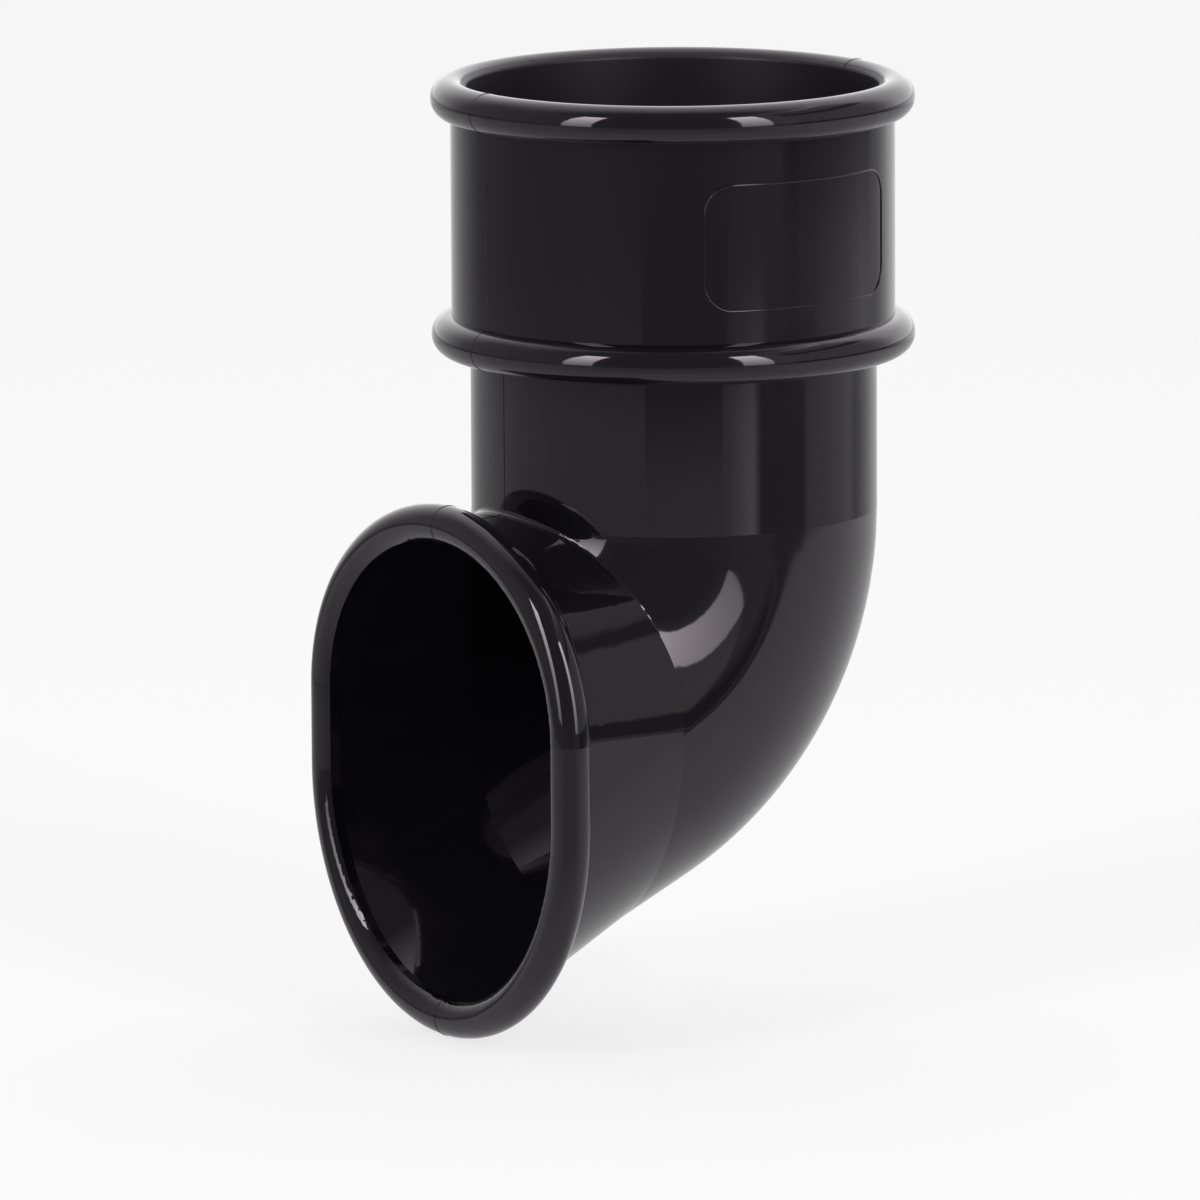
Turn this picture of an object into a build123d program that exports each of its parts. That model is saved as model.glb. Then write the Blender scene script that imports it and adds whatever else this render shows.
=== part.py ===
from build123d import *
from math import cos, radians, sin, tan
import os

# Driving dimensions of the socket and pipe, in millimetres and degrees
pipe_diameter = 50.0
push_fit = 0.6
wall = 2.0
socket_depth = 31.65
bead_radius = 2.45
pipe_run = 21.5
throat_radius = 0.9
bend_angle = 65.3

# Driving dimensions of the outlet
outlet_reach = 33.3
roof_rise = 0.55
side_flare = 1.8
roof_flattening = 1.7
bowl_flare = 0.3
bowl_drop = 0.7
root_inset = 0.05
root_side = 0.4

# Driving dimensions of the rounded edges
crease_fillet = 0.6
crease_end = 12.0
rim_fillet = 0.6

# Sizes that follow from them
pipe_radius = pipe_diameter / 2
bore_radius = pipe_radius - wall
socket_bore_radius = pipe_radius + push_fit / 2
socket_radius = socket_bore_radius + wall
rim_bead_level = socket_depth - bead_radius
bend_level = -pipe_run
bend_radius = pipe_radius + throat_radius
fall_angle = 90 - bend_angle
fall_slant = 1 / cos(radians(fall_angle))
root_reach = bend_radius * (1 - cos(radians(bend_angle)))
root_level = bend_level - bend_radius * sin(radians(bend_angle))
mouth_front = outlet_reach + bead_radius
mouth_arch = pipe_radius - roof_flattening
mouth_arch_level = bend_level + roof_rise - mouth_arch
mouth_bowl_level = root_level - (outlet_reach - root_reach) * tan(radians(fall_angle)) - bowl_drop
work_span = 4 * (outlet_reach + pipe_diameter + bend_radius)


# Round tube from the seat down through the bend and out along the fall
def swept_pipe(radius):
    upright = Pos(0, 0, bend_level) * extrude(Circle(radius), pipe_run)
    pivot = Axis((0, -bend_radius, bend_level), (1, 0, 0))
    elbow = revolve(Pos(0, 0, bend_level) * Circle(radius), pivot, -bend_angle)
    tail_plane = Plane(
        origin=(0, -root_reach, root_level),
        x_dir=(1, 0, 0),
        z_dir=(0, -sin(radians(bend_angle)), -cos(radians(bend_angle))),
    )
    tail_length = (mouth_front - root_reach) / sin(radians(bend_angle)) + radius
    tail = extrude(tail_plane * Circle(radius), tail_length)
    return upright + elbow + tail


# Upright section of the flared outlet: an arch, straight sides and a bowl
def outlet_outline(reach, inset):
    share = (reach - root_reach) / (outlet_reach - root_reach)

    def between(root_value, mouth_value):
        return root_value + share * (mouth_value - root_value)

    root_radius = pipe_radius - root_inset
    half_width = between(root_radius, pipe_radius + side_flare) - inset
    arch = between(root_radius, mouth_arch) - inset
    root_bowl = pipe_radius * fall_slant - root_inset
    bowl = between(root_bowl, pipe_radius * fall_slant + bowl_flare) - inset * fall_slant
    arch_level = between(root_level + root_side, mouth_arch_level)
    bowl_level = between(root_level, mouth_bowl_level)
    plane = Plane(origin=(0, -reach, 0), x_dir=(1, 0, 0), z_dir=(0, -1, 0))
    outline = (
        EllipticalCenterArc((0, arch_level), half_width, arch, 0, arc_size=180)
        + Line((-half_width, arch_level), (-half_width, bowl_level))
        + EllipticalCenterArc((0, bowl_level), half_width, bowl, 180, arc_size=180)
        + Line((half_width, bowl_level), (half_width, arch_level))
    )
    return plane, outline


# Flared outlet, lofted from its root inside the elbow to the mouth
def outlet(inset):
    sections = []
    for reach in (root_reach, outlet_reach):
        plane, outline = outlet_outline(reach, inset)
        sections.append(plane * make_face(outline))
    return loft(sections, ruled=True)


# Clear way straight out through the mouth bead
def mouth_opening():
    plane, outline = outlet_outline(outlet_reach, wall)
    return extrude(plane * make_face(outline), 2 * bead_radius)


# Everything on the far side of a plane, for trimming
def beyond(plane):
    return extrude(plane * Rectangle(work_span, work_span), work_span)


# Round bead along the mouth
def mouth_bead():
    plane, outline = outlet_outline(outlet_reach, 0)
    path = plane * outline
    return sweep(Plane(origin=path @ 0, z_dir=path % 0) * Circle(bead_radius), path)


# Pipe, elbow and outlet in one, with the crease where they meet rounded
def branched_tube(radius, inset):
    mouth_plane = Plane(origin=(0, -outlet_reach, 0), x_dir=(1, 0, 0), z_dir=(0, -1, 0))
    crease_foot = Plane(origin=(0, 0, root_level + crease_end), z_dir=(0, 0, -1))
    tube = swept_pipe(radius) - beyond(mouth_plane)
    branch = outlet(inset)
    arched = tube + (branch - beyond(crease_foot))
    throat = Vector(0, -radius, bend_level)
    crease = min(arched.edges(), key=lambda edge: (edge.center() - throat).length)
    return arched.fillet(crease_fillet, [crease]) + branch


# Socket wall with its rim bead, foot bead and stop shoulder, turned as one
def socket():
    sleeve = Pos(bore_radius, -bead_radius) * Rectangle(
        socket_radius - bore_radius, socket_depth, align=(Align.MIN, Align.MIN)
    )
    spigot = Pos(bore_radius, -2 * bead_radius) * Rectangle(
        wall, 2 * bead_radius, align=(Align.MIN, Align.MIN)
    )
    foot_bead = Pos(socket_radius, 0) * Circle(bead_radius)
    rim_bead = Pos(socket_radius, rim_bead_level) * Circle(bead_radius)
    bore = Rectangle(socket_bore_radius, 2 * socket_depth, align=Align.MIN)
    section = sleeve + spigot + foot_bead + rim_bead - bore
    rim_corner = section.vertices().sort_by_distance((socket_bore_radius, socket_depth))[0]
    section = fillet(rim_corner, rim_fillet)
    return revolve(Plane.XZ * section, Axis.Z)


# The whole moulding
def shoe():
    outside = branched_tube(pipe_radius, 0) + mouth_bead()
    passage = branched_tube(bore_radius, wall) + mouth_opening()
    return outside - passage + socket()


if __name__ == "__main__":
    os.makedirs("parts", exist_ok=True)
    export_step(shoe(), "parts/shoe.step")
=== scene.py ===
from math import copysign, cos, pi, radians, sin

import bpy
from mathutils import Matrix, Vector


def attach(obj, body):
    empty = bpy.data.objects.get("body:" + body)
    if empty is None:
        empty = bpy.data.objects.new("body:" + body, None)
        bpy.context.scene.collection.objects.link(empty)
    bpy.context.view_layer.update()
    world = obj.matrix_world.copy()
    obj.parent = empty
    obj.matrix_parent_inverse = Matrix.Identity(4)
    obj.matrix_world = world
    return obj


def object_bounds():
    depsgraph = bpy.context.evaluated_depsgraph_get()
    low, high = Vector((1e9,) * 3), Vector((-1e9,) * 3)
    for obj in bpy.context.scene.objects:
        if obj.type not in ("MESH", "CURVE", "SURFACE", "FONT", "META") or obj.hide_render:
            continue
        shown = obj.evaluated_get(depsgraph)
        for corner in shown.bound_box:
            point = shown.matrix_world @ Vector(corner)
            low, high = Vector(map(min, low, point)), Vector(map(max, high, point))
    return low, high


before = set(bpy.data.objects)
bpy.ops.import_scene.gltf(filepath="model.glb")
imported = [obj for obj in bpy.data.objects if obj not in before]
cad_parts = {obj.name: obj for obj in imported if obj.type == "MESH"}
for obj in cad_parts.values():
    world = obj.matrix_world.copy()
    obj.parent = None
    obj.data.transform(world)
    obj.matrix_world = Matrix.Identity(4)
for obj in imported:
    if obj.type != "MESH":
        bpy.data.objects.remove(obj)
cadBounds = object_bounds()
print("frame loaded")

mm = 0.001
fullTurn = 360
fullRise = 180
straightUp = Vector((0, 0, 1))


# One shader socket, with arithmetic that adds its own Math nodes
class Val:
    def __init__(self, tree, socket):
        self.tree = tree
        self.socket = socket

    def math(self, operation, other=0.0):
        return self.tree.node("ShaderNodeMath", {"operation": operation}, {0: self, 1: other})

    def reflected(self, operation, other):
        return self.tree.node("ShaderNodeMath", {"operation": operation}, {0: other, 1: self})

    def __add__(self, other):
        return self.math("ADD", other)

    def __radd__(self, other):
        return self.reflected("ADD", other)

    def __sub__(self, other):
        return self.math("SUBTRACT", other)

    def __rsub__(self, other):
        return self.reflected("SUBTRACT", other)

    def __mul__(self, other):
        return self.math("MULTIPLY", other)

    def __rmul__(self, other):
        return self.reflected("MULTIPLY", other)

    def __truediv__(self, other):
        return self.math("DIVIDE", other)

    def __rtruediv__(self, other):
        return self.reflected("DIVIDE", other)

    def __pow__(self, other):
        return self.math("POWER", other)

    # Nothing up to a start, then a rise to 1 over a fade. A negative fade runs downwards
    def past(self, start, fade):
        return self.tree.node("ShaderNodeClamp", {}, {"Value": (self - start) / fade})


# A node tree that makes its nodes through one method
class Tree:
    def __init__(self, owner):
        owner.use_nodes = True
        self.nodes = owner.node_tree.nodes
        self.links = owner.node_tree.links
        self.nodes.clear()

    # Settings are set first, a ramp's stops among them, then the values or links of the sockets
    def node(self, kind, settings, sockets, output=0):
        made = self.nodes.new(kind)
        for key, value in settings.items():
            if key == "stops":
                self.setStops(made.color_ramp.elements, value)
            else:
                setattr(made, key, value)
        for name, value in sockets.items():
            if isinstance(value, Val):
                self.links.new(value.socket, made.inputs[name])
            else:
                made.inputs[name].default_value = value
        return Val(self, made.outputs[output]) if made.outputs else None

    def setStops(self, elements, stops):
        while len(elements) < len(stops):
            elements.new(0.5)
        for element, (position, glow) in zip(elements, stops):
            element.position = position
            element.color = (glow, glow, glow, 1)


# Camera at the photo's angle: turned about the pipe, a little above, with a long lens
cameraPlace = {
    "azimuth": radians(56.4),
    "elevation": radians(9.85),
    "roll": radians(-0.293),
    "distance": 1.7,
    "aimRight": -9.203 * mm,
    "aimLevel": -33.46 * mm,
    "pixelsPerMetre": 8108,
    "imageSize": 1200,
    "sensor": 36.0,
}

# Level directions: towards the camera, and to its right
towardsCamera = Vector((sin(cameraPlace["azimuth"]), -cos(cameraPlace["azimuth"]), 0))
toTheRight = Vector((cos(cameraPlace["azimuth"]), sin(cameraPlace["azimuth"]), 0))

# Room that the gloss mirrors: dim on the camera's side, pale all round behind, with a pale floor.
# The gap is a dark strip low in front, and the shelf is a set of level bands on the right.
# A turn is counted from the camera's side, to the left negative, and a height from level, in
# degrees. A stop is such an angle and the glow there
room = {
    "background": (1, 1, 1, 1),
    "wall": [(-180, 1.9), (-155, 1.6), (-120, 0.5), (-60, 0.4), (-30, 0.2), (25, 0.2), (58, 0.8), (110, 0.8),
             (135, 1.9)],
    "wallFoot": [(-180, 1.2), (-145, 0.7), (-120, 0.3), (-40, 0.3), (10, 0.2), (60, 0.4), (115, 1.1),
                 (130, 0.6), (150, 1.2)],
    "wallFootTop": -2.0,
    "wallFootEnd": -8.75,
    "wallFootFade": -0.17,
    "floorEdge": [(-180, 1.0), (-145, 0.6), (-30, 0.5), (30, 0.6), (45, 1.4), (50, 0.2), (78, 0.2), (82, 0.6),
                  (118, 0.7), (125, 0.4), (150, 0.9)],
    "floorEdgeEnd": -10.05,
    "floorEdgeFade": -0.25,
    "floor": [(-180, 0.85), (-60, 0.7), (-30, 0.5), (30, 0.5), (70, 1.0), (130, 1.0), (180, 0.85)],
    "floorNear": 0.82,
    "floorNearFrom": -20.0,
    "floorNearFade": -25.0,
    "gapGlow": 0.14,
    "gapTurns": (-17, 28),
    "gapHeights": (-9.25, -8.0),
    "gapFade": 0.08,
    "ceilingFront": 0.22,
    "ceilingBack": 1.5,
    "ceilingFrom": 42.0,
    "ceilingFade": 22.0,
    "ceilingTurnover": -0.35,
    "ceilingTurnoverFade": 0.5,
    "shelf": [(-8.5, 1.0), (-8.3, 0.2), (-2.5, 0.2), (-1.5, 0.8), (33.0, 0.8), (35.0, 0.2), (40.0, 0.2),
              (43.0, 0.7), (51.0, 0.7), (53.0, 1.8), (57.0, 1.8), (59.0, 1.0)],
    "shelfTurns": (56, 130),
    "shelfFades": (6, -10),
}


# Glow along an angle in degrees, from stops spread over a span with level or straight ahead in its middle
def glowAlong(angle, stops, span):
    spread = [(degrees / span + 0.5, glow) for degrees, glow in stops]
    return angle.tree.node("ShaderNodeValToRGB", {"stops": spread}, {"Fac": angle / span + 0.5}, "Color")


def makeWorld():
    world = bpy.data.worlds.new("studioWorld")
    bpy.context.scene.world = world
    tree = Tree(world)
    direction = tree.node("ShaderNodeTexCoord", {}, {}, "Generated")
    inDegrees = 180 / pi

    def along(axis):
        product = {"operation": "DOT_PRODUCT"}
        return tree.node("ShaderNodeVectorMath", product, {0: direction, 1: axis}, "Value")

    def blend(mask, low, high):
        return tree.node("ShaderNodeMix", {"data_type": "FLOAT"}, {0: mask, 2: low, 3: high})

    ahead = along(towardsCamera)
    turn = along(toTheRight).math("ARCTAN2", ahead) * inDegrees
    height = along(straightUp).math("ARCSINE") * inDegrees
    wall = glowAlong(turn, room["wall"], fullTurn)
    wallFoot = glowAlong(turn, room["wallFoot"], fullTurn)
    floorEdge = glowAlong(turn, room["floorEdge"], fullTurn)
    floor = glowAlong(turn, room["floor"], fullTurn)
    shelf = glowAlong(height, room["shelf"], fullRise)
    ceilingFront = ahead.past(room["ceilingTurnover"], room["ceilingTurnoverFade"])
    ceiling = blend(ceilingFront, room["ceilingBack"], room["ceilingFront"])
    shelfStart, shelfEnd = room["shelfTurns"]
    shelfIn, shelfOut = room["shelfFades"]
    gapStart, gapEnd = room["gapTurns"]
    gapFoot, gapTop = room["gapHeights"]
    gap = turn.past(gapStart, 1) * turn.past(gapEnd, -1)
    gap = gap * height.past(gapFoot, room["gapFade"]) * height.past(gapTop, -1)
    # From the wall and its foot up to the ceiling, then down to the floor
    glow = blend(height.past(room["wallFootTop"], 1), wallFoot, wall)
    glow = blend(height.past(room["ceilingFrom"], room["ceilingFade"]), glow, ceiling)
    glow = glow * blend(turn.past(shelfStart, shelfIn) * turn.past(shelfEnd, shelfOut), 1.0, shelf)
    glow = blend(height.past(room["wallFootEnd"], room["wallFootFade"]), glow, floorEdge)
    glow = blend(gap, glow, room["gapGlow"])
    glow = blend(height.past(room["floorEdgeEnd"], room["floorEdgeFade"]), glow, floor)
    glow = blend(height.past(room["floorNearFrom"], room["floorNearFade"]), glow, room["floorNear"])
    seen = tree.node("ShaderNodeLightPath", {}, {}, "Is Camera Ray")
    mirrored = tree.node("ShaderNodeBackground", {}, {"Strength": glow})
    backdrop = tree.node("ShaderNodeBackground", {}, {"Color": room["background"], "Strength": 1.0})
    either = tree.node("ShaderNodeMixShader", {}, {0: seen, 1: mirrored, 2: backdrop})
    tree.node("ShaderNodeOutputWorld", {}, {"Surface": either})
    print("world made")


# Two tall soft lamps beside the camera, brighter towards their tops
softbox = {
    "turns": (-46, 40),
    "distance": 1.1,
    "width": 0.29,
    "height": 1.30,
    "level": 0.58,
    "glow": 6.0,
    "foot": 0.3,
    "head": 1.7,
}


def makeSoftboxes():
    for number, degrees in enumerate(softbox["turns"]):
        turn = radians(degrees)
        outward = cos(turn) * towardsCamera + sin(turn) * toTheRight
        data = bpy.data.lights.new(f"softbox{number}", "AREA")
        data.shape = "RECTANGLE"
        data.size = softbox["width"]
        data.size_y = softbox["height"]
        data.energy = softbox["glow"] * pi * data.size * data.size_y
        tree = Tree(data)
        across = tree.node("ShaderNodeNewGeometry", {}, {}, "Parametric")
        up = tree.node("ShaderNodeSeparateXYZ", {}, {"Vector": across}, "Y")
        fade = softbox["foot"] + up * (softbox["head"] - softbox["foot"])
        lamp = tree.node("ShaderNodeEmission", {}, {"Strength": fade})
        tree.node("ShaderNodeOutputLight", {}, {"Surface": lamp})
        placed = bpy.data.objects.new(data.name, data)
        bpy.context.scene.collection.objects.link(placed)
        placed.location = outward * softbox["distance"] + straightUp * softbox["level"]
        placed.rotation_euler = outward.to_track_quat("Z", "Y").to_euler()
        placed.visible_camera = False
    print("softboxes placed")


def makeCamera():
    c = cameraPlace
    back = cos(c["elevation"]) * towardsCamera + sin(c["elevation"]) * straightUp
    levelUp = back.cross(toTheRight)
    right = cos(c["roll"]) * toTheRight + sin(c["roll"]) * levelUp
    up = cos(c["roll"]) * levelUp - sin(c["roll"]) * toTheRight
    data = bpy.data.cameras.new("camera")
    data.sensor_width = c["sensor"]
    data.lens = c["pixelsPerMetre"] * c["distance"] / c["imageSize"] * c["sensor"]
    camera = bpy.data.objects.new("camera", data)
    bpy.context.scene.collection.objects.link(camera)
    place = c["aimRight"] * toTheRight + c["aimLevel"] * straightUp + c["distance"] * back
    camera.matrix_world = Matrix((
        (right.x, up.x, back.x, place.x),
        (right.y, up.y, back.y, place.y),
        (right.z, up.z, back.z, place.z),
        (0, 0, 0, 1),
    ))
    bpy.context.scene.camera = camera
    print("camera placed")


# Gloss black PVC-U, faintly streaked along the draw of the mould and faintly dimpled
plastic = {
    "colour": (0.006, 0.0054, 0.0078, 1),
    "roughness": 0.03,
    "cloudsPerMetre": 60,
    "cloudDetail": 3.0,
    "cloudRoughness": 0.04,
    "ior": 1.53,
    "glossTint": (1.0, 0.9, 0.98, 1),
    "socketRoughness": 0.42,
    "socketRadius": 26.2 * mm,
    "socketEdge": 0.4 * mm,
    "socketFoot": -1.5 * mm,
    "socketFootEdge": 1.0 * mm,
    "streaksPerMetre": 420,
    "streakStretch": 0.03,
    "streakDetail": 2.0,
    "streakHeight": 0.004 * mm,
    "dimplesPerMetre": 900,
    "dimpleDetail": 1.0,
    "dimpleHeight": 0.00025 * mm,
}


def makePlastic():
    material = bpy.data.materials.new("glossPvc")
    tree = Tree(material)
    place = tree.node("ShaderNodeTexCoord", {}, {}, "Object")

    def noise(perMetre, stretch, detail):
        scale = (perMetre, perMetre, perMetre * stretch)
        scaled = tree.node("ShaderNodeMapping", {}, {"Vector": place, "Scale": scale})
        return tree.node("ShaderNodeTexNoise", {}, {"Vector": scaled, "Scale": 1.0, "Detail": detail})

    streaks = noise(plastic["streaksPerMetre"], plastic["streakStretch"], plastic["streakDetail"])
    dimples = noise(plastic["dimplesPerMetre"], 1.0, plastic["dimpleDetail"])
    clouds = noise(plastic["cloudsPerMetre"], 1.0, plastic["cloudDetail"])
    relief = streaks * plastic["streakHeight"] + dimples * plastic["dimpleHeight"]
    bump = tree.node("ShaderNodeBump", {}, {"Distance": 1.0, "Height": relief})
    # The inside of the socket is duller, as the core of the mould leaves it
    x, y, z = (tree.node("ShaderNodeSeparateXYZ", {}, {"Vector": place}, axis) for axis in "XYZ")
    fromPipeAxis = (x * x + y * y) ** 0.5
    inside = fromPipeAxis.past(plastic["socketRadius"], -plastic["socketEdge"])
    inside = inside * z.past(plastic["socketFoot"], plastic["socketFootEdge"])
    roughness = plastic["roughness"] + clouds * plastic["cloudRoughness"]
    roughness = roughness + inside * plastic["socketRoughness"]
    gloss = tree.node("ShaderNodeBsdfPrincipled", {}, {
        "Base Color": plastic["colour"],
        "Roughness": roughness,
        "IOR": plastic["ior"],
        "Specular Tint": plastic["glossTint"],
        "Normal": bump,
    })
    tree.node("ShaderNodeOutputMaterial", {}, {"Surface": gloss})
    print("plastic mixed")
    return material


def selectOnly(piece):
    bpy.ops.object.select_all(action="DESELECT")
    piece.select_set(True)
    bpy.context.view_layer.objects.active = piece


# How finely a thickened edge is rounded
edgeRounding = 2


# Edges alone become a fine closed tube
def thicken(piece, radius):
    selectOnly(piece)
    bpy.ops.object.convert(target="CURVE")
    curve = bpy.context.object.data
    curve.bevel_depth = radius
    curve.bevel_resolution = edgeRounding
    curve.use_fill_caps = True
    bpy.ops.object.convert(target="MESH")
    bpy.ops.object.shade_smooth()
    return bpy.context.object


# A finished piece takes the plastic and hangs on the shoe
def dress(piece, material):
    piece.data.materials.append(material)
    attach(piece, "root")


# Fine ridge that the two mould halves leave along the middle of the outside
partingLine = {
    "radius": 0.065 * mm,
    "weld": 0.001 * mm,
    "escape": 0.3 * mm,
    "bendLevel": -21.5 * mm,
    "mouthPlane": -33.3 * mm,
    "bowlTop": -60 * mm,
    "rimInside": 30 * mm,
}


# A stretch is inside when it lies in the socket, in the bowl behind the mouth, or has another wall
# in each way out. Above the bend it may also look sideways and half up, past the beads
def isInside(shoe, middle):
    normal = shoe.closest_point_on_mesh(middle)[2]
    outward = Vector((0, normal.y, normal.z)).normalized()
    waysOut = [outward]
    if middle.z > partingLine["bendLevel"]:
        sideways = Vector((0, copysign(1, middle.y), 0))
        waysOut += [sideways, (sideways + straightUp).normalized()]
    blocked = all(shoe.ray_cast(middle + way * partingLine["escape"], way)[0] for way in waysOut)
    inSocket = plastic["socketFoot"] < middle.z < partingLine["rimInside"]
    inSocket = inSocket and abs(middle.y) < plastic["socketRadius"]
    inBowl = middle.z < partingLine["bowlTop"] and middle.y > partingLine["mouthPlane"] and outward.z > 0
    return blocked or inSocket or inBowl


def makePartingLine(shoe, material):
    ridge = bpy.data.objects.new("partingLine", shoe.data.copy())
    bpy.context.scene.collection.objects.link(ridge)
    ridge.data.materials.clear()
    selectOnly(ridge)
    bpy.ops.object.mode_set(mode="EDIT")
    bpy.ops.mesh.select_all(action="SELECT")
    bpy.ops.mesh.remove_doubles(threshold=partingLine["weld"])
    bpy.ops.mesh.select_all(action="SELECT")
    bpy.ops.mesh.bisect(plane_co=(0, 0, 0), plane_no=(1, 0, 0), clear_inner=True, clear_outer=True)
    bpy.ops.mesh.select_all(action="DESELECT")
    bpy.ops.object.mode_set(mode="OBJECT")
    bpy.context.tool_settings.mesh_select_mode = (False, True, False)
    points = ridge.data.vertices
    for edge in ridge.data.edges:
        start, end = (points[number].co for number in edge.vertices)
        edge.select = isInside(shoe, (start + end) / 2)
    bpy.ops.object.mode_set(mode="EDIT")
    bpy.ops.mesh.delete(type="EDGE")
    bpy.ops.object.mode_set(mode="OBJECT")
    bpy.context.tool_settings.mesh_select_mode = (True, False, False)
    dress(thicken(ridge, partingLine["radius"]), material)
    print("parting line drawn")


# Raised outline of the bare panel on the socket wall. Its middle and reach are angles about the pipe
panel = {
    "middle": radians(4.3),
    "reach": radians(30.2),
    "level": 14.1 * mm,
    "halfHeight": 7.7 * mm,
    "corner": 3.5 * mm,
    "cornerSegments": 8,
    "cuts": 12,
    "ridge": 0.13 * mm,
    "wallRadius": 27.3 * mm,
}


def makePanel(material):
    bpy.ops.object.select_all(action="DESELECT")
    bpy.ops.mesh.primitive_plane_add(size=2)
    outline = bpy.context.object
    outline.name = "panelOutline"
    for vertex in outline.data.vertices:
        vertex.co.x *= panel["reach"] * panel["wallRadius"]
        vertex.co.y *= panel["halfHeight"]
    bpy.ops.object.mode_set(mode="EDIT")
    bpy.ops.mesh.select_all(action="SELECT")
    bpy.ops.mesh.bevel(affect="VERTICES", offset=panel["corner"], segments=panel["cornerSegments"])
    bpy.ops.mesh.select_all(action="SELECT")
    bpy.ops.mesh.delete(type="ONLY_FACE")
    bpy.ops.mesh.select_all(action="SELECT")
    bpy.ops.mesh.subdivide(number_cuts=panel["cuts"])
    bpy.ops.object.mode_set(mode="OBJECT")
    # Bent round the socket
    for vertex in outline.data.vertices:
        angle = panel["middle"] + vertex.co.x / panel["wallRadius"]
        level = panel["level"] + vertex.co.y
        vertex.co = (panel["wallRadius"] * cos(angle), panel["wallRadius"] * sin(angle), level)
    dress(thicken(outline, panel["ridge"]), material)
    print("panel outlined")


# Pale floor. The share is how much of it the camera sees as plain white, the rest keeps the shadow
floorPlate = {
    "size": 6.0,
    "colour": (0.93, 0.93, 0.93, 1),
    "whiteShare": 0.75,
}


def makeFloor():
    bpy.ops.mesh.primitive_plane_add(size=floorPlate["size"], location=(0, 0, cadBounds[0][2]))
    floor = bpy.context.object
    floor.name = "floor"
    material = bpy.data.materials.new("floorWhite")
    tree = Tree(material)
    seen = tree.node("ShaderNodeLightPath", {}, {}, "Is Camera Ray")
    matt = tree.node("ShaderNodeBsdfDiffuse", {}, {"Color": floorPlate["colour"]})
    white = tree.node("ShaderNodeEmission", {}, {"Color": room["background"], "Strength": 1.0})
    share = seen * floorPlate["whiteShare"]
    mixed = tree.node("ShaderNodeMixShader", {}, {0: share, 1: matt, 2: white})
    tree.node("ShaderNodeOutputMaterial", {}, {"Surface": mixed})
    floor.data.materials.append(material)
    floor.visible_glossy = False
    print("floor laid")


makeWorld()
makeSoftboxes()
makeCamera()
makeFloor()
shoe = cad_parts["shoe"]
pvc = makePlastic()
shoe.data.materials.clear()
shoe.data.materials.append(pvc)
makePartingLine(shoe, pvc)
makePanel(pvc)
bpy.context.scene.view_settings.view_transform = "Standard"
